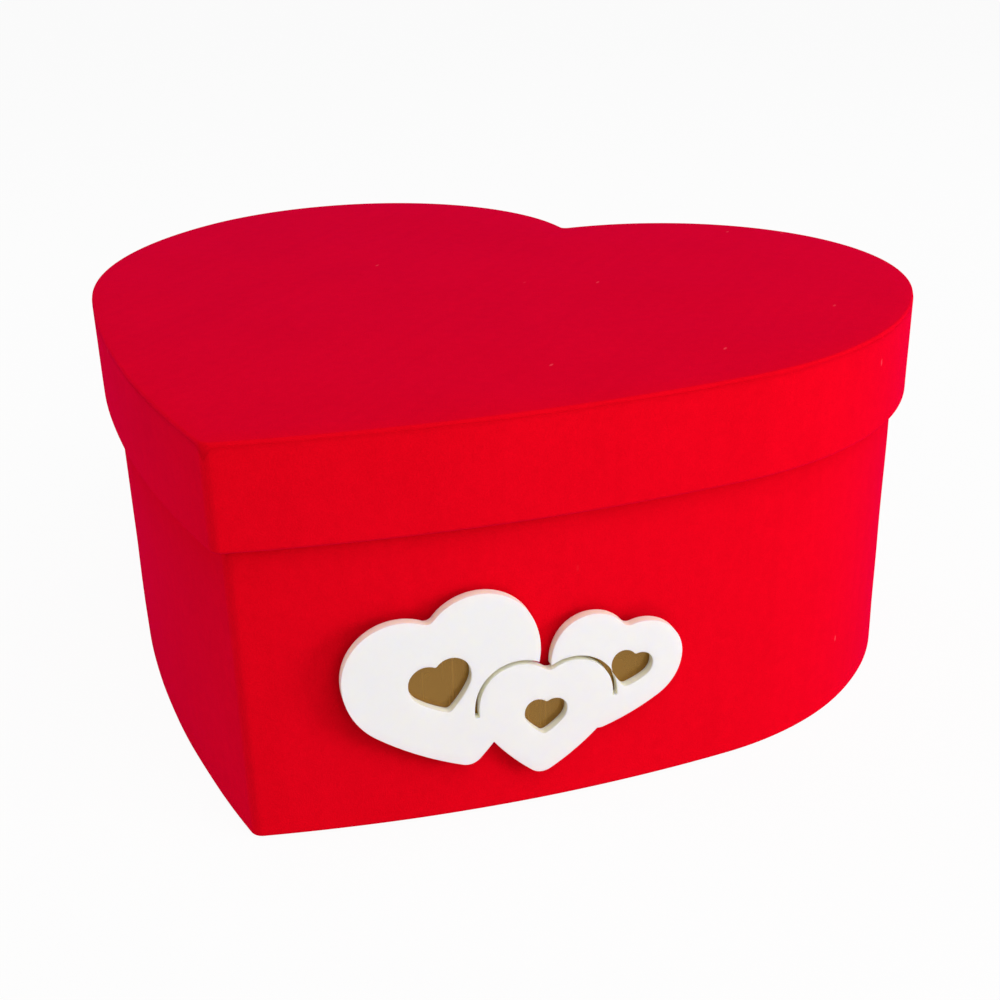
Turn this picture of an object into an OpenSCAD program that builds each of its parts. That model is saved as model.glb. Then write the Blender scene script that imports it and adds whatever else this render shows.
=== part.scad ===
// Heart-shaped flower box: a velvet-covered card base with a lift-off lid and a plaque of hearts.
// Millimetres, +Z up. It stands on z = 0 with the heart's point towards -Y, and the origin lies
// under the middle of the outline's box. An inset is a distance inwards from the lid's outer face.

/* [Box] */
// Overall width, across both lobes of the lid
box_w = 290; // [260:1:360]
// Overall height, with the lid on
box_h = 130; // [115:1:200]
// Height of the lid's rim
rim_h = 33; // [26:1:45]
// Clearance between the lid and the base, on each side
lid_gap = 0.6; // [0.4:0.1:2]

/* [Heart outline] */
// Distance between the centres of the two lobe arcs
lobe_gap = 118; // [90:1:130]
// How much larger the shoulder arc's radius is than the lobe arc's
shoulder_more = 30; // [5:1:60]
// Radius of the long flank arc
flank_r = 490; // [350:5:900]
// Direction, in degrees, in which the lobe arc runs into the shoulder arc
lobe_end = 15; // [0:1:35]
// Direction, in degrees, in which the shoulder arc runs into the flank arc
shoulder_end = -40; // [-48:1:-30]
// Radius of the rounded point
tip_r = 4; // [2:0.5:12]
// Radius of the rounded cleft
cleft_r = 2; // [1:0.5:8]

/* [Layers] */
// Thickness of the card boards
board_t = 2; // [1.2:0.1:3]
// Thickness of the velvet
velvet_t = 0.7; // [0.5:0.05:1.2]
// Thickness of the lining paper
lining_t = 0.3; // [0.2:0.05:0.6]
// Thickness of the stay tape in the corners
stay_t = 0.2; // [0.1:0.05:0.4]
// Thickness of the sheet under the floor
sheet_t = 0.8; // [0.5:0.1:2]
// Thickness of the glue between two layers
glue_t = 0.1; // [0.05:0.05:0.2]

/* [Folds and joints] */
// How far the wall's velvet is turned in below the base's rim
wall_turn = 20; // [8:1:40]
// How far the wall's velvet is turned under the floor
under_turn = 15; // [8:1:30]
// How far the rim's velvet is turned in above the rim's lower edge
rim_turn = 15; // [8:1:20]
// Height of the top velvet's lip that shows above the rim's velvet
lip_h = 1.6; // [1:0.1:4]
// How far the top velvet is pressed down behind the rim's velvet
skirt_h = 9; // [4:1:18]
// Gap where two edges of velvet meet
seam = 0.3; // [0.1:0.1:1]
// Gap between the ends of the two strips of board
board_joint = 0.2; // [0.1:0.1:1]
// Reach of the stay tape along the board, on each side of a corner
stay_w = 20; // [8:1:30]
// How far the bottom sheet stays back from the base's edge
sheet_back = 4; // [2:0.5:12]

/* [Plaque] */
// Width of the plaque
plaque_w = 103; // [60:1:115]
// Distance of the plaque's middle from the point, along the flank
plaque_from_tip = 77; // [72:1:95]
// Height of the plaque's middle above the middle of the wall that shows
plaque_up = -4.5; // [-8:0.5:4]
// Thickness of the white front plate
front_t = 3; // [1.5:0.5:5]
// Thickness of the backing plate
backing_t = 1; // [0.5:0.1:3]
// Least thickness of the foam tape between the wall and the backing plate
foam_t = 1.2; // [0.8:0.1:3]
// How far the backing plate stays back from the front plate's edge
backing_back = 1; // [0.5:0.1:3]
// Rounding of the hearts' points
heart_tip_r = 5; // [2:0.5:8]
// Rounding of the hearts' clefts
heart_cleft_r = 2.5; // [2:0.5:5]
// Width of the slit round the middle heart
slit_w = 1.4; // [0.8:0.1:1.8]
// Width of a foam pad
pad_w = 16; // [8:1:20]
// Height of a foam pad
pad_h = 14; // [8:1:20]

/* [Hidden] */
$fn = 360;
velvet_red = "#c8061f";
board_grey = "#a39a8c";
paper_white = "#f1ede4";
tape_brown = "#b98d57";
plaque_white = "#fdfdfb";
plaque_gold = "#8e682c";

// Insets of the lid's layers, from the outside to the inside
lid_board_in = velvet_t + glue_t;
lid_board_back = lid_board_in + board_t;
lid_turn_in = lid_board_back + glue_t;
lid_turn_back = lid_turn_in + velvet_t;
lid_stay_back = lid_turn_in + stay_t;
lid_lining_in = lid_stay_back + glue_t;
lid_lining_back = lid_lining_in + lining_t;
// The top velvet's pressed skirt and the rim velvet over it share the thickness of one velvet
skirt_t = (velvet_t - glue_t) / 2;

// Insets of the base's layers
base_in = max(lid_turn_back, lid_lining_back) + lid_gap;
wall_velvet_back = base_in + velvet_t;
board_in = wall_velvet_back + glue_t;
board_back = board_in + board_t;
turn_in = board_back + glue_t;
turn_back = turn_in + velvet_t;
stay_back = turn_in + stay_t;
lining_in = stay_back + glue_t;
lining_back = lining_in + lining_t;

// Levels, from the floor up
wall_z = sheet_t + velvet_t;
floor_z = wall_z + board_t;
inside_z = floor_z + lining_t;
rim_z = box_h - rim_h;
board_top_z = box_h - velvet_t;
lid_lining_z = board_top_z - board_t;
seat_z = lid_lining_z - lining_t;
lip_z = box_h - lip_h;
skirt_z = lip_z - skirt_h;

// Centres of the outline's arcs on the right half, with the outline's box centred on the origin
lobe_r = box_w / 2 - lobe_gap / 2 - shoulder_more * (1 - cos(lobe_end));
shoulder_r = lobe_r + shoulder_more;
lobe_from = [lobe_gap / 2, 0];
shoulder_from = lobe_from - shoulder_more * heading(lobe_end);
flank_from = shoulder_from - (flank_r - shoulder_r) * heading(shoulder_end);
low_y = flank_from.y - sqrt((flank_r - tip_r) ^ 2 - flank_from.x ^ 2) - tip_r;
centring = [0, -(lobe_r + low_y) / 2];
lobe_c = lobe_from + centring;
shoulder_c = shoulder_from + centring;
flank_c = flank_from + centring;
// Smallest radius that a corner inside the point keeps
least_tip = 0.4;
// How far a smaller arc stands proud of the arc that it runs into, so that the two cross
weld = 0.01;
// Angle, in degrees, by which the shoulder arc runs on inside the flank
run_on = 10;

// The plaque lies flat against the right flank, square to this direction from the flank's centre
wall_r = flank_r - base_in;
base_tip = tip_centre(base_in, tip_at(base_in));
plaque_dir = bearing(flank_c, base_tip) + plaque_from_tip / wall_r * 180 / PI;
plaque_z = rim_z / 2 + plaque_up;
// Hearts of the plaque, in shares of its width: width, place of the middle, tilt in degrees, and
// the shift of the window from the middle in shares of the heart's own width
HEARTS = [
    [0.575, [-0.197, 0.034], 13, [-0.03, 0.03]],
    [0.40, [0.082, -0.11], -5, [0, 0.02]],
    [0.40, [0.283, 0], -17, [0.13, 0.06]],
];
MIDDLE = 1;
// Width of a window as a share of its heart's
window_share = 0.32;
// Height at which the slit stops, in shares of the plaque's width: below it the hearts are joined
slit_low = -0.07;
// Places of the foam pads, in shares of the plaque's width
PADS = [[-0.24, 0.03], [0.24, -0.05]];

function heading(angle) = [cos(angle), sin(angle)];
function bearing(from, to) = atan2(to.y - from.y, to.x - from.x);
// Radius of the point at an inset: the lid's layers count from the lid's face, the base's from its own
function tip_at(inset) = max(least_tip, tip_r - (inset < base_in ? inset : inset - base_in));
// Centre of the arc that rounds the point between the two flanks
function tip_centre(inset, tip) =
    [0, flank_c.y - sqrt((flank_r - inset - tip) ^ 2 - flank_c.x ^ 2)];

// Part of a circle inside a polygon of corners
module sector(centre, radius, corners) {
    intersection() {
        translate(centre) circle(radius);
        polygon(corners);
    }
}

// Shoulder and flank of the right half. Each stops at the direction in which the arc above or below
// it takes over, and the shoulder runs on a little inside the flank.
module shoulder_and_flank(inset, tip_c) {
    reach = 2 * shoulder_r;
    past_lobe = shoulder_c + reach * heading(lobe_end);
    beside = shoulder_c + reach * heading((lobe_end + shoulder_end) / 2);
    inside_flank = shoulder_c + reach * heading(shoulder_end - run_on);
    past_shoulder = shoulder_c + reach * heading(shoulder_end);
    past_flank = tip_c + reach * heading(bearing(flank_c, tip_c));
    sector(shoulder_c, shoulder_r - inset + weld, [shoulder_c, inside_flank, beside, past_lobe]);
    sector(flank_c, flank_r - inset, [shoulder_c, tip_c, past_flank, past_shoulder]);
}

// Outline of the box at an inset: arcs that run into each other, round a straight-sided core
module heart(inset, tip, cleft = cleft_r) {
    point = is_undef(tip) ? tip_at(inset) : tip;
    tip_c = tip_centre(inset, point);
    cleft_c = [0, lobe_c.y + sqrt((lobe_r + cleft) ^ 2 - lobe_c.x ^ 2)];
    in_flank = shoulder_c + shoulder_r / 2 * heading(shoulder_end);
    in_shoulder = shoulder_c + shoulder_r / 2 * heading(lobe_end);
    core = [in_flank, in_shoulder, lobe_c];
    mirrored = [for (corner = [2, 1, 0]) [-core[corner].x, core[corner].y]];
    difference() {
        union() {
            polygon(concat([tip_c], core, [cleft_c], mirrored));
            translate(tip_c) circle(point + weld);
            for (side = [0, 1]) {
                mirror([side, 0]) {
                    translate(lobe_c) circle(lobe_r - inset + 2 * weld);
                    shoulder_and_flank(inset, tip_c);
                }
            }
        }
        translate(cleft_c) circle(cleft + inset);
    }
}

module band(outer, inner) {
    difference() {
        heart(outer);
        heart(inner);
    }
}

module level(low, high) {
    translate([0, 0, low]) linear_extrude(high - low) children();
}

// Part of a flat shape to the right of the box's middle plane, clear of the joint between the boards
module right_half() {
    intersection() {
        children();
        translate([board_joint / 2, -box_w]) square([box_w, 2 * box_w]);
    }
}

// Part of a band that lies in the corner at the point or at the cleft
module at_corner(outer, inner, cleft) {
    tip_y = tip_centre(outer, tip_at(outer)).y;
    intersection() {
        band(outer, inner);
        translate([-stay_w, cleft ? lobe_c.y : tip_y - tip_r]) square([2 * stay_w, box_w / 2]);
    }
}

// Removes the slit at the cleft where the two ends of a wrap meet
module slit_at_cleft() {
    difference() {
        children();
        translate([-seam / 2, 0, 0]) cube([seam, box_w, box_h]);
    }
}

// Base

module wall_board() {
    level(wall_z, seat_z - velvet_t) right_half() band(board_in, board_back);
}

module wall_board_right() {
    color(board_grey) wall_board();
}

module wall_board_left() {
    color(board_grey) mirror([1, 0, 0]) wall_board();
}

module floor_board() {
    color(board_grey) level(wall_z, floor_z) heart(turn_in);
}

module tip_stay_tape() {
    color(tape_brown) level(inside_z, seat_z - wall_turn) at_corner(turn_in, stay_back, false);
}

module cleft_stay_tape() {
    color(tape_brown) level(inside_z, seat_z - wall_turn) at_corner(turn_in, stay_back, true);
}

module wall_velvet() {
    color(velvet_red) slit_at_cleft() {
        level(sheet_t, seat_z) band(base_in, wall_velvet_back);
        level(sheet_t, wall_z) band(base_in, wall_velvet_back + under_turn);
        level(seat_z - velvet_t, seat_z) band(base_in, turn_back);
        level(seat_z - wall_turn, seat_z) band(turn_in, turn_back);
    }
}

module wall_lining() {
    color(paper_white) level(inside_z, seat_z - wall_turn) band(lining_in, lining_back);
}

module floor_lining() {
    color(paper_white) level(floor_z, inside_z) heart(turn_in);
}

module bottom_sheet() {
    color(paper_white) level(0, sheet_t) heart(base_in + sheet_back);
}

// Plaque

// Stands a flat shape upright against the right flank, with its back this far from the flank's
// centre. A turn moves it along the flank.
module on_flank(depth, turn = 0) {
    translate([flank_c.x, flank_c.y, plaque_z])
        rotate([90, 0, plaque_dir + turn + 90])
            translate([0, 0, depth])
                children();
}

// One heart of the plaque or the window in it, smaller by an inset
module plaque_heart(which, inset = 0, share = 1, shift = [0, 0]) {
    shape = HEARTS[which];
    heart_w = shape[0] * plaque_w;
    size = heart_w * share / box_w;
    translate(shape[1] * plaque_w)
        rotate(shape[2])
            translate(shift * heart_w)
                scale(size)
                    heart(inset / size, (heart_tip_r * share - inset) / size, heart_cleft_r * share / size);
}

module all_hearts(inset) {
    for (which = [0 : len(HEARTS) - 1]) {
        plaque_heart(which, inset);
    }
}

module all_windows() {
    for (which = [0 : len(HEARTS) - 1]) {
        plaque_heart(which, share = window_share, shift = HEARTS[which][3]);
    }
}

// Slit round the upper part of the middle heart
module heart_slit() {
    intersection() {
        difference() {
            plaque_heart(MIDDLE, -slit_w);
            plaque_heart(MIDDLE);
        }
        translate([-plaque_w, slit_low * plaque_w]) square(2 * plaque_w);
    }
}

// Each pad lies flat on the wall, square to its own direction, and its face is cut by the backing plate
module plaque_foam_tape() {
    color(paper_white) for (pad = PADS) {
        intersection() {
            on_flank(wall_r + glue_t, pad.x * plaque_w / wall_r * 180 / PI)
                translate([-pad_w / 2, pad.y * plaque_w - pad_h / 2, 0])
                    cube([pad_w, pad_h, plaque_w]);
            on_flank(wall_r + foam_t - plaque_w)
                translate([-plaque_w, -plaque_w, 0])
                    cube([2 * plaque_w, 2 * plaque_w, plaque_w]);
        }
    }
}

module plaque_backing() {
    color(plaque_gold) on_flank(wall_r + foam_t) linear_extrude(backing_t) all_hearts(backing_back);
}

module plaque_front() {
    color(plaque_white) on_flank(wall_r + foam_t + backing_t) linear_extrude(front_t) {
        difference() {
            all_hearts(0);
            heart_slit();
            all_windows();
        }
    }
}

// Lid

module lid_top_board() {
    color(board_grey) level(lid_lining_z, board_top_z) heart(lid_turn_in);
}

module lid_rim_board() {
    level(rim_z + velvet_t, board_top_z) right_half() band(lid_board_in, lid_board_back);
}

module lid_rim_board_right() {
    color(board_grey) lid_rim_board();
}

module lid_rim_board_left() {
    color(board_grey) mirror([1, 0, 0]) lid_rim_board();
}

module lid_tip_stay_tape() {
    color(tape_brown) level(rim_z + rim_turn, seat_z) at_corner(lid_turn_in, lid_stay_back, false);
}

module lid_cleft_stay_tape() {
    color(tape_brown) level(rim_z + rim_turn, seat_z) at_corner(lid_turn_in, lid_stay_back, true);
}

module lid_top_velvet() {
    color(velvet_red) {
        level(board_top_z, box_h) heart(0);
        level(lip_z, box_h) band(0, velvet_t);
        level(skirt_z, box_h) band(velvet_t - skirt_t, velvet_t);
    }
}

module lid_rim_velvet() {
    color(velvet_red) slit_at_cleft() {
        level(rim_z, lip_z - seam) band(0, skirt_t);
        level(rim_z, skirt_z - seam) band(0, velvet_t);
        level(rim_z, rim_z + velvet_t) band(0, lid_turn_back);
        level(rim_z, rim_z + rim_turn) band(lid_turn_in, lid_turn_back);
    }
}

module lid_rim_lining() {
    color(paper_white) level(rim_z + rim_turn, seat_z) band(lid_lining_in, lid_lining_back);
}

module lid_top_lining() {
    color(paper_white) level(seat_z, lid_lining_z) heart(lid_turn_in);
}

wall_board_right();
wall_board_left();
floor_board();
tip_stay_tape();
cleft_stay_tape();
wall_velvet();
wall_lining();
floor_lining();
bottom_sheet();
plaque_foam_tape();
plaque_backing();
plaque_front();
lid_top_board();
lid_rim_board_right();
lid_rim_board_left();
lid_tip_stay_tape();
lid_cleft_stay_tape();
lid_top_velvet();
lid_rim_velvet();
lid_rim_lining();
lid_top_lining();
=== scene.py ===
import bmesh
import bpy
import numpy as np
from mathutils import Matrix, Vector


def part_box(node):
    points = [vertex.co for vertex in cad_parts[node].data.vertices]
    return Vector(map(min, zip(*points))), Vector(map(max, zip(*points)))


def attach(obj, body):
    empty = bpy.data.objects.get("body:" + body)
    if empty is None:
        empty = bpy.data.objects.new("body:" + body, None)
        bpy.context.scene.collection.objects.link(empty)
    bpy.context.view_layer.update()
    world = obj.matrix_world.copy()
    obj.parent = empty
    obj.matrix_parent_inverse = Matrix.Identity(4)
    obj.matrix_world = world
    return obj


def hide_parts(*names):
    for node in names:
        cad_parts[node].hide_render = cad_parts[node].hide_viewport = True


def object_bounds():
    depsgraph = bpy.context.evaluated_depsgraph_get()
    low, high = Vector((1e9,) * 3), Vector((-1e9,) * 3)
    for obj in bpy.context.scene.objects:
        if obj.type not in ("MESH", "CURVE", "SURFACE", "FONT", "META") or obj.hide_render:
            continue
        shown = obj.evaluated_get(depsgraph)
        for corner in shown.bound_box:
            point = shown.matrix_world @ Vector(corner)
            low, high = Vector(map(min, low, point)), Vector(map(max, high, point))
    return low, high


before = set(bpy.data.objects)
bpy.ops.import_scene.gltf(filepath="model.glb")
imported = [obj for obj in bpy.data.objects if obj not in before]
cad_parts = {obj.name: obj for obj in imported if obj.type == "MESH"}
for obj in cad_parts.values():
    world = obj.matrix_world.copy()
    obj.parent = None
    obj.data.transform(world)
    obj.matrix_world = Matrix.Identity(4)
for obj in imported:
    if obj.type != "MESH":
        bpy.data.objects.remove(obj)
cad_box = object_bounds()


# Grey board: the walls, the floor and the lid's top and rim are 2 mm board of pressed waste paper.
# The strips are bent round the heart and butt at the cleft and the point. The grain is a haze of
# short fibres with a few dark and pale flecks.
class Shade:
    """A shader socket. Sums written with it add Math nodes, and node() adds any other kind of node."""

    def __init__(self, tree, socket=None):
        self.tree = tree
        self.socket = socket

    def node(self, kind, settings=None, sockets=None, out=0):
        made = self.tree.nodes.new(kind)
        for name, value in (settings or {}).items():
            setattr(made, name, value)
        for name, value in (sockets or {}).items():
            if isinstance(value, Shade):
                self.tree.links.new(value.socket, made.inputs[name])
            else:
                made.inputs[name].default_value = value
        return Shade(self.tree, made.outputs[out] if made.outputs else None)

    def math(self, operation, first, second):
        return self.node("ShaderNodeMath", {"operation": operation}, {0: first, 1: second})

    def __add__(self, other):
        return self.math("ADD", self, other)

    __radd__ = __add__

    def __sub__(self, other):
        return self.math("SUBTRACT", self, other)

    def __rsub__(self, other):
        return self.math("SUBTRACT", other, self)

    def __mul__(self, other):
        return self.math("MULTIPLY", self, other)

    __rmul__ = __mul__


def begin(name):
    """A new finish and its Object coordinates, which are metres in the frame of the whole object."""
    made = bpy.data.materials.new(name)
    made.use_nodes = True
    made.node_tree.nodes.clear()
    return made, Shade(made.node_tree).node("ShaderNodeTexCoord", out="Object")


def stretched(where, x, y, z):
    """Coordinates times a share on each axis. A small share draws a pattern out along that axis."""
    return where.node("ShaderNodeVectorMath", {"operation": "MULTIPLY"}, {0: where, 1: (x, y, z)})


def grain(where, size, detail=2.0):
    """Soft noise from 0 to 1 whose grains are about size metres across."""
    return where.node("ShaderNodeTexNoise", {}, {"Vector": where, "Scale": 1 / size, "Detail": detail})


def step_up(value, low, high, top=1.0):
    """0 below low, top above high, and an S-curve between them."""
    limits = {"Value": value, "From Min": low, "From Max": high, "To Max": top}
    return value.node("ShaderNodeMapRange", {"interpolation_type": "SMOOTHSTEP"}, limits)


def between(share, low, high):
    """A colour that goes from low to high as share goes from 0 to 1."""
    return share.node("ShaderNodeMix", {"data_type": "RGBA"}, {0: share, 6: low, 7: high}, out=2)


def raised(height, depth, strength=1.0):
    """A normal bent by a height of 0 to 1 that stands for depth metres."""
    return height.node("ShaderNodeBump", {}, {"Height": height, "Distance": depth, "Strength": strength})


def surface(where, sockets):
    """The finish's one shader: what changes over the surface is linked, the rest is set on its sockets."""
    shader = where.node("ShaderNodeBsdfPrincipled", {}, sockets)
    where.node("ShaderNodeOutputMaterial", {}, {"Surface": shader})


grey_board, where = begin("grey_board")
fibres = grain(stretched(where, 1, 1, 0.3), 0.0009, 4.0)
flecks = step_up(grain(where, 0.0016), 0.62, 0.72)
board_tone = between(fibres, (0.26, 0.235, 0.2, 1), (0.46, 0.43, 0.37, 1))
surface(where, {
    "Base Color": between(flecks * 0.6, board_tone, (0.11, 0.1, 0.09, 1)),
    "Roughness": 0.8 + 0.15 * fibres,
    "Normal": raised(fibres, 0.00008),
    "Specular IOR Level": 0.25,
})
for board in ("wall_board_right", "wall_board_left", "floor_board",
              "lid_top_board", "lid_rim_board_right", "lid_rim_board_left"):
    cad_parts[board].material_slots[0].material = grey_board


# Stay tape: gummed brown paper, pasted into the corners at the point and the cleft to hold the board
# ends together. It is ribbed along its length by the machine that made it, and lies under the lining.
brown_paper, where = begin("gummed_brown_paper")
ribs = grain(stretched(where, 1, 1, 0.04), 0.0006)
pulp = grain(where, 0.003, 3.0)
surface(where, {
    "Base Color": between(0.6 * ribs + 0.4 * pulp, (0.36, 0.2, 0.075, 1), (0.58, 0.36, 0.16, 1)),
    "Roughness": 0.5 + 0.25 * pulp,
    "Normal": raised(ribs, 0.00004),
})
for tape in ("tip_stay_tape", "cleft_stay_tape", "lid_tip_stay_tape", "lid_cleft_stay_tape"):
    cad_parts[tape].material_slots[0].material = brown_paper


# Wall velvet: one strip of red velvet glued round the walls. It is turned over the rim and 20 mm down
# the inside, and turned under the floor. Its ends butt in a seam at the cleft. The pile is short and
# brushed upright, so it shows faint streaks, and it opens a little where it goes round a fold.
half_w = cad_box[1][0]
lobe_gap = 0.118
shoulder_more = 0.03
flank_r = 0.49
lobe_end = np.radians(15)
shoulder_end = np.radians(-40)
tip_r = 0.004
least_tip_r = 0.0004
cleft_r = 0.002
seam = 0.00006
seam_dip = 0.00018
velvet_t = 0.0007
skirt_t = 0.0003
fold_r = 0.00085
row_gap = 0.0003
edge_reach = 0.0006
glue_swell = 0.0002
edge_wander = 0.00018
edge_waves = (0.04, 0.009)
bell_w = 0.0016
droop_fade = 0.012


def heading(angle):
    """Unit vectors at these angles, along a last axis of x and y."""
    return np.stack([np.cos(angle), np.sin(angle)], -1)


lobe_r = half_w - lobe_gap / 2 - shoulder_more * (1 - np.cos(lobe_end))
shoulder_r = lobe_r + shoulder_more
lobe_c = np.array([lobe_gap / 2, cad_box[1][1] - lobe_r])
shoulder_c = lobe_c - shoulder_more * heading(lobe_end)
flank_c = shoulder_c - (flank_r - shoulder_r) * heading(shoulder_end)
cleft_c = np.array([0, lobe_c[1] + np.sqrt((lobe_r + cleft_r) ** 2 - lobe_c[0] ** 2)])


def heart_line(inset, tip, slit):
    """The heart's outline at each of several insets, as points and outward normals, from the cleft
    clockwise round to the cleft. A half is five arcs that run into each other: a hollow one of cleft_r at
    the cleft, then lobe, shoulder and flank about their own centres, and half of the point's arc, of
    radius tip. An inset shortens the radius of a round arc and lengthens the hollow one's. The other half
    is its mirror image. The ends stand half of slit from the middle."""
    inset, tip = np.broadcast_arrays(np.atleast_1d(inset), np.atleast_1d(tip))
    inset, tip = inset[:, None], tip[:, None]
    tip_y = flank_c[1] - np.sqrt((flank_r - inset - tip) ** 2 - flank_c[0] ** 2)
    tip_angle = np.arctan2(tip_y - flank_c[1], -flank_c[0])
    lobe_start = np.arctan2(cleft_c[1] - lobe_c[1], -lobe_c[0])
    centre_line = np.zeros_like(tip_y)
    down = np.full_like(inset, -np.pi / 2)
    cleft_start = down + np.arcsin(slit / 2 / (cleft_r + inset))
    arcs = [
        (*cleft_c, cleft_r + inset, cleft_start, lobe_start - np.pi, 9, -1),
        (*lobe_c, lobe_r - inset, lobe_start, lobe_end, 72, 1),
        (*shoulder_c, shoulder_r - inset, lobe_end, shoulder_end, 44, 1),
        (*flank_c, flank_r - inset, shoulder_end, tip_angle, 66, 1),
        (centre_line, tip_y, tip, tip_angle, down, 11, 1),
    ]
    points, normals = [], []
    for x, y, radius, start, end, count, side in arcs:
        angle = start + (end - start) * np.linspace(0, 1, count)
        angle = np.broadcast_to(angle, (len(inset), count))[:, 0 if side < 0 else 1:]
        points.append(np.stack([x + radius * np.cos(angle), y + radius * np.sin(angle)], -1))
        normals.append(side * heading(angle))
    right, out = np.concatenate(points, 1), np.concatenate(normals, 1)
    mirror = np.array([-1, 1])
    return (np.concatenate([right, right[:, -2::-1] * mirror], 1),
            np.concatenate([out, out[:, -2::-1] * mirror], 1))


def crowded(start, end):
    """Points from start to end that crowd towards both ends, to about row_gap: the shadow on the line of
    a point that goes evenly round a half circle over it."""
    count = max(3, int(1.6 * np.sqrt(np.linalg.norm(end - start) / row_gap)))
    return start + (0.5 - 0.5 * np.cos(np.linspace(0, np.pi, count)))[:, None] * (end - start)


def folded(corners, radius):
    """A line through corners, as points and unit directions, that turns each square corner on an arc of
    radius. Along an arc the direction swings from the way in to the way out, and the point keeps radius
    from the arc's centre."""
    corners = np.array(corners)
    ways = np.diff(corners, axis=0)
    ways = ways / np.linalg.norm(ways, axis=1, keepdims=True)
    swing = np.linspace(0, np.pi / 2, 8)[:, None]
    points, directions = [corners[:1]], [ways[:1]]
    for turn, (way_in, way_out) in enumerate(zip(ways[:-1], ways[1:]), 1):
        run = crowded(points[-1][-1], corners[turn] - radius * way_in)
        arc = run[-1] + radius * (way_out * (1 - np.cos(swing)) + way_in * np.sin(swing))
        swung = way_in * np.cos(swing) + way_out * np.sin(swing)
        points += [run[1:-1], arc]
        directions += [np.tile(way_in, (len(run) - 2, 1)), swung]
    run = crowded(points[-1][-1], corners[-1])[1:]
    points.append(run)
    directions.append(np.tile(ways[-1], (len(run), 1)))
    return np.concatenate(points), np.concatenate(directions)


def distance_along(points):
    """Each point's distance from the first along a line of points: the running sum of its steps."""
    return np.concatenate([[0], np.cumsum(np.linalg.norm(np.diff(points, axis=0), axis=1))])


def sheet_section(corners, radius, skived):
    """The closed cross-section of a folded sheet: its middle line moved half its thickness to the left
    for the face and to the right for the back, and a half round at each cut end. It goes out along the
    back and home along the face. Over the length skived before its last end the back is pared to skirt_t
    behind the face. Also each point's distance along the sheet, and how near it is to a cut end, which
    falls off from 1 there; it sets how far the edge wanders and how much painted shade the velvet gets."""
    middle, way = folded(corners, radius)
    left = np.stack([-way[:, 1], way[:, 0]], 1)
    along = distance_along(middle)
    thick = np.where(along > along[-1] - skived, skirt_t, velvet_t)[:, None]
    face = middle + velvet_t / 2 * left
    back = face - thick * left
    swing = np.radians([45, 90, 135])[:, None]
    ends = []
    for here, outwards, across in ((-1, way[-1], left[-1]), (0, -way[0], -left[0])):
        round_end = thick[here] / 2 * (across * np.cos(swing) + outwards * np.sin(swing))
        ends.append((face[here] + back[here]) / 2 + round_end)
    loop = np.concatenate([face, ends[0], back[::-1], ends[1]])[::-1]
    run = np.concatenate([along, np.repeat(along[-1], 3), along[::-1], np.zeros(3)])[::-1]
    near_cut = np.exp(-np.minimum(run, along[-1] - run) / edge_reach)
    return loop, run, near_cut


def uneven(u, v, seed, longest=0.09, shortest=0.024):
    """A slow unevenness from about -1 to 1 over two lengths in metres: a sum of sines whose lengths,
    directions and starts are seeded."""
    pick = np.random.default_rng(seed)
    sines = 9
    lengths = pick.uniform(shortest, longest, sines)
    turns = pick.uniform(0, np.pi, sines)
    starts = pick.uniform(0, 2 * np.pi, sines)
    phase = np.stack([u, v], -1) @ (heading(turns) * (2 * np.pi / lengths)[:, None]).T + starts
    return 2 * np.sin(phase).mean(-1)


def cloth_piece(name, points, uv, near_cut, faces):
    """A smooth mesh of the points and faces, with its flat pattern as a UV map in metres, and how near
    each point is to a cut edge as an attribute, by which the velvet finish paints shade along edges and
    seams."""
    mesh = bpy.data.meshes.new(name)
    mesh.from_pydata(points.reshape(-1, 3), [], faces)
    corner_points = np.empty(len(mesh.loops), np.int32)
    mesh.loops.foreach_get("vertex_index", corner_points)
    pattern = mesh.uv_layers.new(name="cut")
    pattern.data.foreach_set("uv", uv.reshape(-1, 2)[corner_points].astype(np.float32).ravel())
    edge = mesh.attributes.new("near_cut", "FLOAT", "POINT")
    edge.data.foreach_set("value", near_cut.ravel().astype(np.float32))
    mesh.polygons.foreach_set("use_smooth", np.ones(len(mesh.polygons), bool))
    piece = bpy.data.objects.new(name, mesh)
    bpy.context.scene.collection.objects.link(piece)
    return piece


def tip_bell(points):
    """How near points are to the heart's point, from 0 to 1: a bell over their distance from the middle
    plane."""
    return np.exp(-(points[..., 0] / bell_w) ** 2) * (points[..., 1] < 0)


def grid_faces(rows, columns, ring):
    """Four-cornered faces of a grid that closes from its last row to its first, and from its last column
    to its first if ring is set."""
    row, column = np.meshgrid(np.arange(rows), np.arange(columns if ring else columns - 1), indexing="ij")
    beside = (column + 1) % columns
    here, after = row * columns, (row + 1) % rows * columns
    corners = [here + column, here + beside, after + beside, after + column]
    return np.stack(corners, -1).reshape(-1, 4).tolist()


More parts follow.
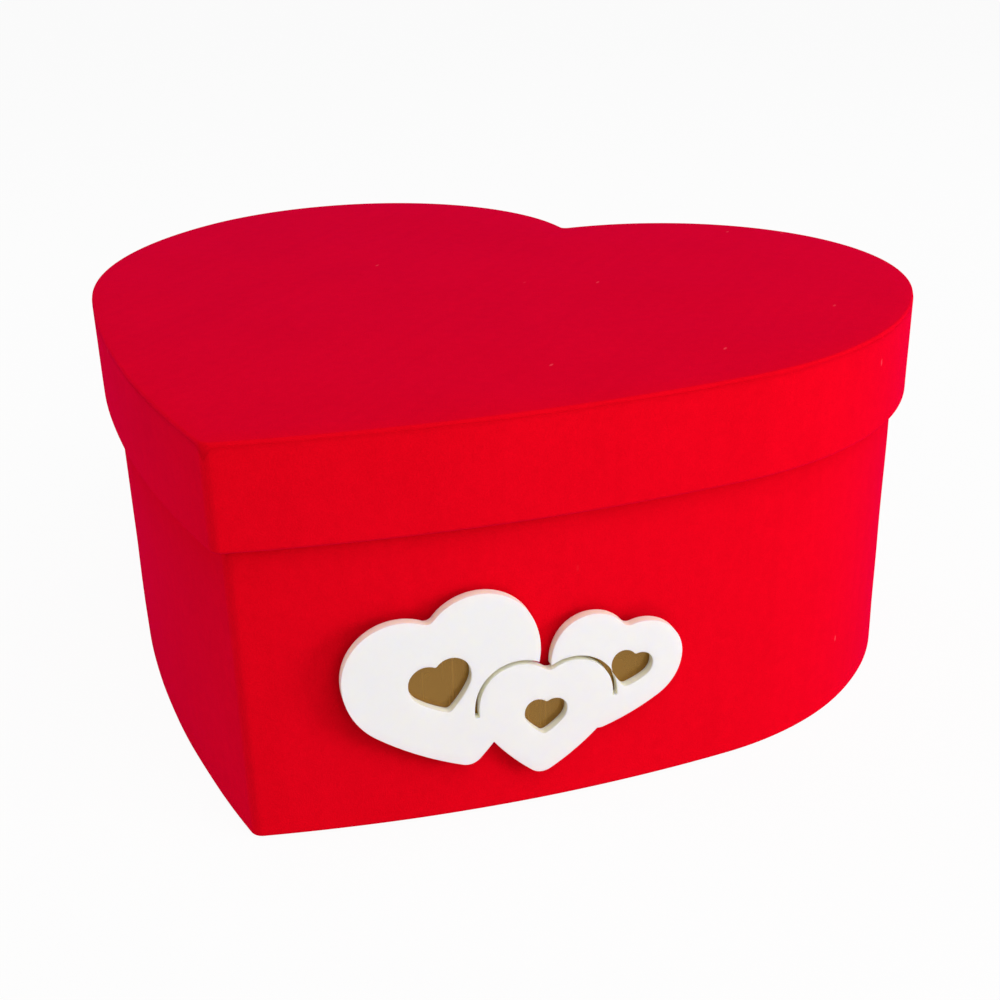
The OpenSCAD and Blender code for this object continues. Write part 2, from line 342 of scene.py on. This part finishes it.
def velvet_band(name, corners, outline, seed, skived=0.0, droop=0.0):
    """A sheet folded to a section and carried round the heart: row by row the heart's outline at the
    section's inset, its face moved out by an unevenness and in by seam_dip at the seam, where the
    section's own shape closes it. Its cut edges wander up and down, and the last one hangs lower by droop
    in a small bell at the point. Also its flat size."""
    loop, run, near_cut = sheet_section(corners, fold_r, skived)
    inset = loop[:, 0]
    points, out = heart_line(inset, np.maximum(tip_r - (inset - outline), least_tip_r), seam)
    around = distance_along(points[np.argmin(inset)])
    u, v = np.broadcast_arrays(around[None], run[:, None])
    at_seam = np.exp(-np.minimum(u, around[-1] - u) / edge_reach)
    on_face = np.clip(1 - (inset - outline) / velvet_t, 0, 1)[:, None]
    glued = glue_swell * (0.5 + 0.5 * uneven(u, v, seed))
    swell = on_face * (glued * (1 - at_seam) - seam_dip * at_seam)
    points = points + out * swell[..., None]
    height = loop[:, 1:] + edge_wander * near_cut[:, None] * uneven(u, 0 * v, seed + 1, *edge_waves)
    height = height - droop * np.clip(1 - (run.max() - run[:, None]) / droop_fade, 0, 1) * tip_bell(points)
    solid = np.concatenate([points, height[..., None]], -1)
    rows, columns = u.shape
    ends = np.arange(rows) * columns
    faces = grid_faces(rows, columns, False) + [ends.tolist(), (ends + columns - 1)[::-1].tolist()]
    # Near a cut edge or the cleft seam each point carries the share of painted shade that the velvet
    # finish darkens it by.
    piece = cloth_piece(name, solid, np.stack([u, v], -1), np.maximum(near_cut[:, None], at_seam), faces)
    return piece, (around[-1], run.max())


velvet, where = begin("red_velvet")
cut = where.node("ShaderNodeUVMap", {"uv_map": "cut"})
# How near each point is to a cut edge or seam, read from the piece's attribute; it sets the painted shade
# below.
edge_shade = where.node("ShaderNodeAttribute", {"attribute_name": "near_cut"}, out="Fac")
pile = grain(where, 0.0005, 2.0)
tufts = grain(where, 0.0035, 3.0)
streaks = grain(stretched(cut, 1, 0.05, 1), 0.0045, 3.0)
patches = grain(where, 0.03, 2.0)
nap = 0.4 * pile + 0.24 * tufts + 0.16 * streaks + 0.2 * patches
flat, lint_cells = {"voronoi_dimensions": "2D"}, {"Vector": stretched(cut, 1, 0.4, 1), "Scale": 48.0}
lint_far = where.node("ShaderNodeTexVoronoi", flat, lint_cells, out="Distance")
lint_pick = where.node("ShaderNodeTexVoronoi", flat, lint_cells, out="Color")
lint_pick = where.node("ShaderNodeSeparateColor", {}, {"Color": lint_pick}, out="Red")
lint = (1 - step_up(lint_far, 0.012, 0.028)) * step_up(lint_pick, 0.8, 0.94, 0.8)
dyed = between(step_up(nap, 0.25, 0.75), (0.735, 0.001, 0.0085, 1), (0.85, 0.0014, 0.0112, 1))
# Painted shade: near cut edges and seams the red is darkened towards a deep red, standing in for the shade
# deep in the pile and in the grooves between pieces.
dyed_with_edge_shade = between(0.24 * edge_shade, dyed, (0.3, 0.0003, 0.0023, 1))
surface(where, {
    "Base Color": between(lint, dyed_with_edge_shade, (0.95, 0.05, 0.072, 1)),
    "Roughness": 0.82 + 0.16 * nap,
    "Normal": raised(0.75 * pile + 0.25 * tufts, 0.0002, 0.5),
    "Specular IOR Level": 0.0,
    "Sheen Weight": 0.16,
    "Sheen Roughness": 0.4,
    "Sheen Tint": (1, 0.0, 0.42, 1),
})

wall_low, wall_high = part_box("wall_velvet")
base_in = half_w - wall_high.x
board_t = 0.002
glue_t = 0.0001
wall_turn = 0.02
under_turn = 0.015
outer = base_in + velvet_t / 2
inner = outer + velvet_t + 2 * glue_t + board_t
wall_velvet, wall_cut = velvet_band("velvet_wall_wrap", [
    (outer + under_turn, wall_low.z + velvet_t / 2),
    (outer, wall_low.z + velvet_t / 2),
    (outer, wall_high.z - velvet_t / 2),
    (inner, wall_high.z - velvet_t / 2),
    (inner, wall_high.z - wall_turn),
], base_in, 11)
wall_velvet.data.materials.append(velvet)
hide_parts("wall_velvet")
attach(wall_velvet, "base")


# Paper lining: white paper pasted inside the walls, on the floor, and inside the lid's rim and top, up
# to the turned-in velvet. The card sheet under the box is covered with the same paper. It has a faint
# cloud of fibres and shallow blisters where the paste dried unevenly.
white_paper, where = begin("white_lining_paper")
cloud = grain(where, 0.0045, 4.0)
tooth = grain(where, 0.0006, 2.0)
blisters = grain(where, 0.025, 1.0)
surface(where, {
    "Base Color": between(cloud, (0.83, 0.815, 0.77, 1), (0.9, 0.89, 0.855, 1)),
    "Roughness": 0.62 + 0.2 * tooth,
    "Normal": raised(0.25 * tooth + 0.75 * blisters, 0.0004, 0.5),
    "Specular IOR Level": 0.3,
})
for paper in ("wall_lining", "floor_lining", "bottom_sheet", "lid_rim_lining", "lid_top_lining"):
    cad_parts[paper].material_slots[0].material = white_paper


# Plaque: three overlapping hearts cut from white acrylic, cemented on a backing of the same outline in
# gold-brown mirror acrylic that shows through the windows. Two pads of foam tape hold it on the flank.
foam, where = begin("white_foam_tape")
cells = where.node("ShaderNodeTexVoronoi", {}, {"Vector": where, "Scale": 2600.0}, out="Distance")
surface(where, {
    "Base Color": between(cells, (0.62, 0.61, 0.58, 1), (0.88, 0.87, 0.84, 1)),
    "Roughness": 0.8 + 0.15 * cells,
    "Normal": raised(cells, 0.00015),
})
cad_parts["plaque_foam_tape"].material_slots[0].material = foam

gold_acrylic, where = begin("gold_mirror_acrylic")
haze = grain(where, 0.012, 3.0)
hairs = grain(stretched(where, 1, 1, 0.02), 0.0006, 1.0)
scratches = step_up(hairs, 0.64, 0.7)
surface(where, {
    "Base Color": between(0.5 * haze + 0.5 * scratches, (0.25, 0.13, 0.028, 1), (0.33, 0.175, 0.045, 1)),
    "Metallic": 0.75 + 0.2 * haze,
    "Roughness": 0.2 + 0.12 * haze + 0.15 * scratches,
    "Normal": raised(scratches, 0.00002, 0.4),
})
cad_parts["plaque_backing"].material_slots[0].material = gold_acrylic

plaque_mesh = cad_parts["plaque_front"].data.copy()
plate = bmesh.new()
plate.from_mesh(plaque_mesh)
bmesh.ops.remove_doubles(plate, verts=plate.verts, dist=0.000002)
bmesh.ops.dissolve_limit(plate, angle_limit=np.radians(0.05), verts=plate.verts, edges=plate.edges)
plate_face = max(plate.faces, key=lambda face: face.calc_area() * (face.normal.y < 0))
plate_out = plate_face.normal.copy()
plate_level = plate_out.dot(plate_face.verts[0].co)
plate.to_mesh(plaque_mesh)
plate.free()
plaque_mesh.materials.clear()
white_acrylic, where = begin("white_acrylic")
milk = grain(where, 0.02, 2.0)
wiped = grain(stretched(where, 0.15, 0.15, 1), 0.0012, 2.0)
outwards = {0: where, 1: plate_out}
outwards = where.node("ShaderNodeVectorMath", {"operation": "DOT_PRODUCT"}, outwards, out="Value")
# The cut walls: a little rougher than the face, and tinted cream and brighter as a painted reflection of
# the light the gold backing throws on them.
sawn = step_up(plate_level - outwards, 0.0001, 0.0008)
face_tone = between(milk, (0.93, 0.93, 0.925, 1), (0.95, 0.95, 0.945, 1))
surface(where, {
    "Base Color": between(sawn, face_tone, (0.97, 0.955, 0.8, 1)),
    "Roughness": 0.26 + 0.12 * wiped + 0.2 * sawn,
    "Normal": raised(milk, 0.00006, 0.3),
    "Subsurface Weight": 0.8,
    "Subsurface Radius": (1.0, 0.95, 0.7),
    "Subsurface Scale": 0.002,
})
plaque_mesh.materials.append(white_acrylic)
plaque_mesh.polygons.foreach_set("use_smooth", np.ones(len(plaque_mesh.polygons), bool))
plaque_mesh.set_sharp_from_angle(angle=np.radians(35))
plaque = bpy.data.objects.new("plaque_hearts", plaque_mesh)
bpy.context.scene.collection.objects.link(plaque)
eased = plaque.modifiers.new("eased_edges", "BEVEL")
eased.width = 0.0003
eased.segments = 3
eased.limit_method = "ANGLE"
eased.angle_limit = np.radians(40)
eased.harden_normals = True
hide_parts("plaque_front")
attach(plaque, "base")


# Lid top velvet: a heart of the same velvet stretched over the lid's top and pressed down over its edge
# in a short lip. Below the lip it goes on as a thin skirt behind the rim's velvet.
top_low, top_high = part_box("lid_top_velvet")
rim_low, rim_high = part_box("lid_rim_velvet")
lip_gap = 0.0003
lip_h = top_high.z - rim_high.z - lip_gap
edge_r = 0.0008
tuck_r = 0.0001
roll_drop = 0.0005
roll_w = 0.006
tip_droop = 0.0032
top_sag = 0.00012
top_middle = np.array([0, 0.03])
ring_count = 28
rim_seed = 30
lip_bottom = top_high.z - lip_h
skirt_h = lip_bottom - top_low.z
under = top_high.z - velvet_t

# Its section at the rim, as insets and heights: a quarter round over the edge, the lip's end tucked in,
# the skirt down and up again, and the back of the edge.
face_edge = np.array([edge_r, top_high.z - edge_r]) + edge_r * heading(np.linspace(0.5 * np.pi, np.pi, 9))
tucked = np.array([tuck_r, lip_bottom + tuck_r]) + tuck_r * heading(np.linspace(np.pi, 1.5 * np.pi, 4))
skirt_depths = np.linspace(lip_bottom, top_low.z, 5)
skirt_out = np.stack([np.full(5, velvet_t - skirt_t), skirt_depths], 1)
skirt_in = np.stack([np.full(5, velvet_t), skirt_depths[::-1]], 1)
under_edge = np.array([[velvet_t, under - tuck_r], [velvet_t + tuck_r, under]])
section = np.concatenate([face_edge, tucked, skirt_out, skirt_in, under_edge])

# In plan it is a stack of hearts: shares of the rim's line about top_middle for the face, the section's
# insets at the rim, and shares again for the back.
rim_line, _ = heart_line(section[:, 0], np.maximum(tip_r - section[:, 0], least_tip_r), 0.0)
rim_line = rim_line[:, :-1]
shares = np.sin(np.linspace(0.03, 1.54, ring_count))[:, None]
inner_face = top_middle + shares[..., None] * (rim_line[0] - top_middle)
inner_back = top_middle + shares[::-1, :, None] * (rim_line[-1] - top_middle)
plan = np.concatenate([inner_face, rim_line, inner_back])
rows, columns = plan.shape[:2]

# In height each row has its level. The face sags in slow waves and rolls off towards the edge, and the
# lip wanders as the rim's velvet does and hangs lower in a small bell at the point.
level = np.concatenate([np.full(ring_count, top_high.z), section[:, 1], np.full(ring_count, under)])
drop = top_high.z - level
lip_share = np.where(drop < lip_h, drop / lip_h, 1 - (drop - lip_h) / skirt_h)
lip_share[-ring_count - len(under_edge):] = 0
around = distance_along(np.concatenate([rim_line[0], rim_line[0, :1]]))
wander = edge_wander * uneven(around[:-1], 0 * around[:-1], rim_seed + 1, *edge_waves)
inwards = 1 - np.concatenate([shares, np.ones((len(section), 1)), shares[::-1]])
waves = uneven(plan[..., 0], plan[..., 1], rim_seed + 2, 0.11, 0.03)
sag = top_sag * np.minimum(1, 12 * inwards) * (waves - 1)
to_edge = inwards * np.linalg.norm(rim_line[0] - top_middle, axis=1)
roll = -roll_drop * np.exp(-to_edge / roll_w) * (drop[:, None] < lip_h)
height = level[:, None] + sag + roll + lip_share[:, None] * (wander - tip_droop * tip_bell(plan))
poles = np.array([[*top_middle, top_high.z - top_sag], [*top_middle, under - top_sag]])
solid = np.concatenate([np.concatenate([plan, height[..., None]], -1).reshape(-1, 3), poles])

ring = np.arange(columns)
beside = (ring + 1) % columns
first_pole, last_pole = rows * columns, rows * columns + 1
last_row = (rows - 1) * columns
quads = grid_faces(rows, columns, True)[:last_row]
fans = (np.stack([beside, ring, np.full(columns, first_pole)], 1).tolist()
        + np.stack([last_row + ring, last_row + beside, np.full(columns, last_pole)], 1).tolist())
# Nearness to the lip's cut edge, which the velvet finish turns into painted shade along the seam under the
# lip.
near_cut = np.repeat(np.exp(-np.abs(level - lip_bottom) / edge_reach), columns)
near_cut = np.append(near_cut, [0, 0])
lid_top_velvet = cloth_piece("velvet_lid_top", solid, solid[:, :2], near_cut, quads + fans)
lid_top_velvet.data.materials.append(velvet)
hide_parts("lid_top_velvet")
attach(lid_top_velvet, "lid")


# Lid rim velvet: a strip of the same velvet glued round the rim, from just under the top's lip down to
# the lower edge, where it is turned in and 15 mm up the inside. Its ends butt in a seam at the cleft.
rim_turn = 0.015
outer = velvet_t / 2
inner = outer + velvet_t + 2 * glue_t + board_t
rim_velvet, rim_cut = velvet_band("velvet_lid_rim", [
    (inner, rim_low.z + rim_turn),
    (inner, rim_low.z + velvet_t / 2),
    (outer, rim_low.z + velvet_t / 2),
    (outer, lip_bottom - skirt_t / 2),
], 0.0, rim_seed, skirt_h, tip_droop)
rim_velvet.data.materials.append(velvet)
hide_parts("lid_rim_velvet")
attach(rim_velvet, "lid")


# Stage: a pale floor that keeps the box's shadow, a white world, six soft lamps of which the strongest
# stand to the right, and a camera at the photograph's angle.
floor_mesh = bpy.data.meshes.new("floor")
floor_mesh.from_pydata([(-6, -6, 0), (6, -6, 0), (6, 6, 0), (-6, 6, 0)], [], [(0, 1, 2, 3)])
floor = bpy.data.objects.new("floor", floor_mesh)
bpy.context.scene.collection.objects.link(floor)


def seen_directly(shade):
    """1 on rays from the camera and on those that a mirror or a clear piece sends on, and 0 on others."""
    rays = [shade.node("ShaderNodeLightPath", out=ray)
            for ray in ("Is Camera Ray", "Is Glossy Ray", "Is Transmission Ray")]
    return rays[0] + rays[1] + rays[2]


pale, where = begin("pale_floor")
matt = where.node("ShaderNodeBsdfDiffuse", {}, {"Color": (0.8, 0.8, 0.8, 1)})
white = where.node("ShaderNodeEmission", {}, {"Color": (1, 1, 1, 1), "Strength": 1.0})
mixed = where.node("ShaderNodeMixShader", {}, {0: 0.95 * seen_directly(where), 1: matt, 2: white})
where.node("ShaderNodeOutputMaterial", {}, {"Surface": mixed})
floor_mesh.materials.append(pale)

world = bpy.data.worlds.new("studio")
bpy.context.scene.world = world
world.use_nodes = True
world.node_tree.nodes.clear()
sky = Shade(world.node_tree)
dim = sky.node("ShaderNodeBackground", {}, {"Color": (1, 1, 1, 1), "Strength": 0.15})
bright = sky.node("ShaderNodeBackground", {}, {"Color": (1, 1, 1, 1), "Strength": 0.957})
mixed = sky.node("ShaderNodeMixShader", {}, {0: seen_directly(sky), 1: dim, 2: bright})
sky.node("ShaderNodeOutputWorld", {}, {"Surface": mixed})


def turned_to(place, aim):
    """The turn that points an object's -Z from place to aim with its Y up. Its columns are the right, up
    and back vectors."""
    back = np.array(place) - np.array(aim)
    back = back / np.linalg.norm(back)
    right = np.cross((0, 0, 1), back)
    right = right / np.linalg.norm(right)
    return np.stack([right, np.cross(back, right), back], 1)


def placed(thing, turn, place):
    """Puts a camera or lamp at place, turned by the columns of turn."""
    matrix = np.eye(4)
    matrix[:3, :3], matrix[:3, 3] = turn, place
    thing.matrix_world = Matrix(matrix)
    bpy.context.scene.collection.objects.link(thing)


def towards(azimuth, elevation):
    """The unit vector at these angles in degrees: turned from +X towards +Y, and raised from the floor."""
    turn, rise = np.radians([azimuth, elevation])
    return np.array([*(np.cos(rise) * heading(turn)), np.sin(rise)])


box_middle = np.array([0, 0, 0.06])
lamp_away = 1.4
for name, azimuth, elevation, lamp_size, watts in (
    ("right", 0, 10, 0.5, 6.7),
    ("right_rear", 40, 12, 0.5, 1.2),
    ("front_right", -34, 48, 1.2, 12.5),
    ("left", -150, 15, 0.7, 5.9),
    ("behind", 80, 35, 0.3, 1.7),
    ("behind_left", 150, 55, 0.3, 1.8),
):
    light = bpy.data.lights.new(name, "AREA")
    light.size = lamp_size
    light.energy = watts
    place = box_middle + lamp_away * towards(azimuth, elevation)
    placed(bpy.data.objects.new(name, light), turned_to(place, box_middle), place)

aim = np.array([-0.0308, 0.0546, 0.0196])
camera_away = 0.6
lean = np.radians(-2.44)
place = aim + camera_away * towards(-62.05, 24.75)
tilt = np.array([[np.cos(lean), -np.sin(lean), 0], [np.sin(lean), np.cos(lean), 0], [0, 0, 1]])
camera = bpy.data.cameras.new("camera")
camera.sensor_width = 36.0
camera.lens = 53.76
camera.shift_x, camera.shift_y = 0.06, 0.025
camera.clip_start = 0.01
eye = bpy.data.objects.new("camera", camera)
placed(eye, turned_to(place, aim) @ tilt, place)
bpy.context.scene.camera = eye
bpy.context.scene.view_settings.view_transform = "Standard"
